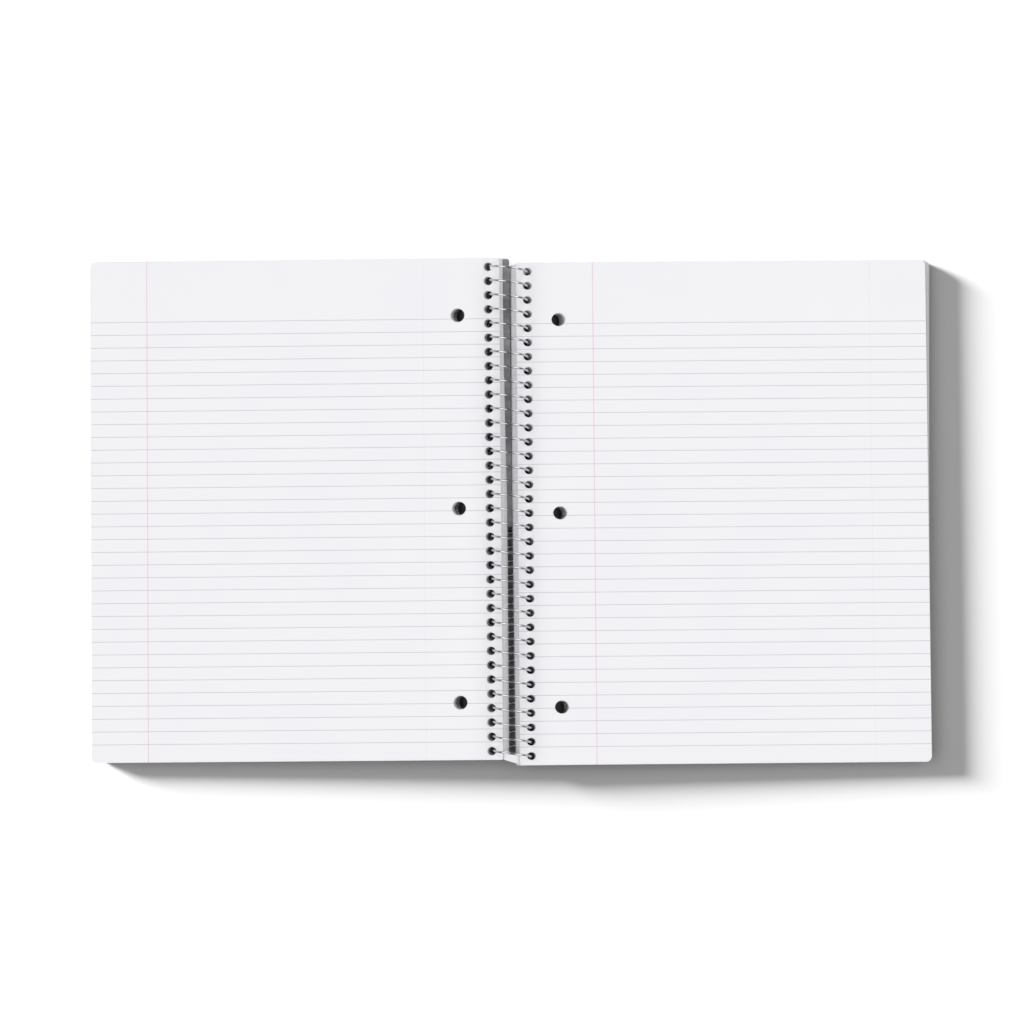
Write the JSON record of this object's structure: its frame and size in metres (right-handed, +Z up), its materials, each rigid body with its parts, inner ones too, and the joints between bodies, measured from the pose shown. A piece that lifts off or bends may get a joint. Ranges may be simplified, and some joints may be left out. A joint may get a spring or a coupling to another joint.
{
  "type": "open spiral notebook",
  "caption": "Wire-bound ruled notebook lying open near its middle, with punched leaves on both sides of a round wire coil and a cover under each stack.",
  "frame": {"origin": "on the table under the middle of the open notebook, at the bottom centre of its bounding box", "axes": "+X towards the fore edge of the right-hand page, +Y along the coil towards the head of the pages, +Z up"},
  "size_m": [0.4668, 0.283, 0.0222],
  "materials": {
    "coil_wire": "bright drawn and plated steel wire",
    "paper": "smooth uncoated writing paper, ruled",
    "cover_sheet": "thin dark plastic sheet with a fine grain"
  },
  "bodies": {
    "back_half": {"back_cover": "cover_sheet", "right_pages": "paper"},
    "coil": {"wire_coil": "coil_wire"},
    "front_half": {"front_cover": "cover_sheet", "left_pages": "paper"}
  },
  "joints": [
    {"name": "front_cover_hinge", "type": "hinge", "parent": "back_half", "child": "front_half", "pos_m": [0.00039, 0, 0.0111], "axis": [0, 1, 0], "range_deg": [0, 181.9]},
    {"name": "coil_roll", "type": "hinge", "parent": "back_half", "child": "coil", "pos_m": [0.00039, 0, 0.0111], "axis": [0, 1, 0], "range_deg": [0, 91]}
  ],
  "couplings": [
    {"joint": "coil_roll", "follows": "front_cover_hinge", "ratio": 0.5}
  ]
}
